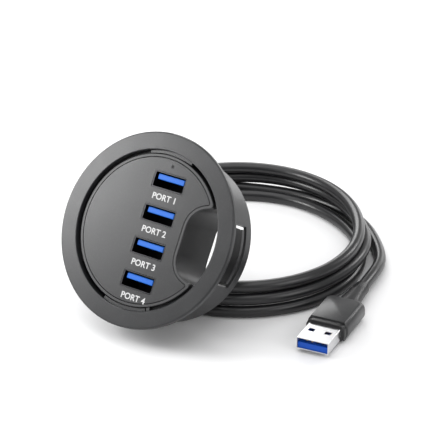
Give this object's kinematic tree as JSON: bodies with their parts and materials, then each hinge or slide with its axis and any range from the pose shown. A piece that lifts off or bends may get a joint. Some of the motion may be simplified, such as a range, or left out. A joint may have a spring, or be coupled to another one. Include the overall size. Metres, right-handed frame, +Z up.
{
  "type": "usb hub",
  "caption": "Round desk-grommet USB hub: flanged ring, twist-lock puck with a column of sockets and a cable scallop, coiled captive cable with a type A plug.",
  "frame": {"origin": "middle of the hub's footprint box on the surface it stands on, cable and plug not counted", "axes": "+X to the hub's right as seen from its face, +Y away from the face, +Z up; the hub's own axis leans 57.6 degrees from vertical in the YZ plane"},
  "size_m": [0.126, 0.1371, 0.0666],
  "materials": {
    "ring_plastic": "satin",
    "pad_rubber": "matt",
    "face_plastic": "satin",
    "housing_plastic": "satin",
    "cover_plastic": "matt",
    "nickel_shell": "satin",
    "blue_moulding": "satin",
    "gold_contact": "polished",
    "board_laminate": "satin",
    "chip_resin": "matt",
    "crystal_can": "brushed",
    "capacitor_ceramic": "satin",
    "resistor_ceramic": "satin",
    "connector_nylon": "matt",
    "wire_sleeve": "satin",
    "screw_steel": "plated",
    "led_lens": "clear",
    "light_pipe": "clear",
    "gland_rubber": "satin",
    "cable_jacket": "satin",
    "grip_plastic": "satin",
    "plug_steel": "polished"
  },
  "bodies": {
    "puck": {"port_face": "face_plastic", "hub_housing": "housing_plastic", "back_cover": "cover_plastic", "circuit_board": "board_laminate", "hub_controller": "chip_resin", "clock_crystal": "crystal_can", "voltage_regulator": "chip_resin", "capacitors": "capacitor_ceramic", "resistors": "resistor_ceramic", "cable_connector": "connector_nylon", "cable_wires": "wire_sleeve", "cord_gland": "gland_rubber", "status_led": "led_lens", "board_screws": "screw_steel", "cover_screws": "screw_steel", "status_light_pipe": "light_pipe", "cord_lead": "cable_jacket", "cord_coil": "cable_jacket", "cord_tail": "cable_jacket", "plug_shell": "plug_steel", "plug_insulator": "blue_moulding", "plug_contacts": "gold_contact", "plug_grip": "grip_plastic", "plug_boot": "gland_rubber", "port_1_shell": "nickel_shell", "port_1_tongue": "blue_moulding", "port_1_contacts": "gold_contact", "port_2_shell": "nickel_shell", "port_2_tongue": "blue_moulding", "port_2_contacts": "gold_contact", "port_3_shell": "nickel_shell", "port_3_tongue": "blue_moulding", "port_3_contacts": "gold_contact", "port_4_shell": "nickel_shell", "port_4_tongue": "blue_moulding", "port_4_contacts": "gold_contact"},
    "ring": {"grommet_ring": "ring_plastic", "grip_pad": "pad_rubber"}
  },
  "joints": [
    {"name": "twist_lock", "type": "hinge", "parent": "puck", "child": "ring", "pos_m": [0, -0.00665, 0.03621], "axis": [0, -0.8443, 0.5358], "range_deg": [-34, 0]}
  ]
}
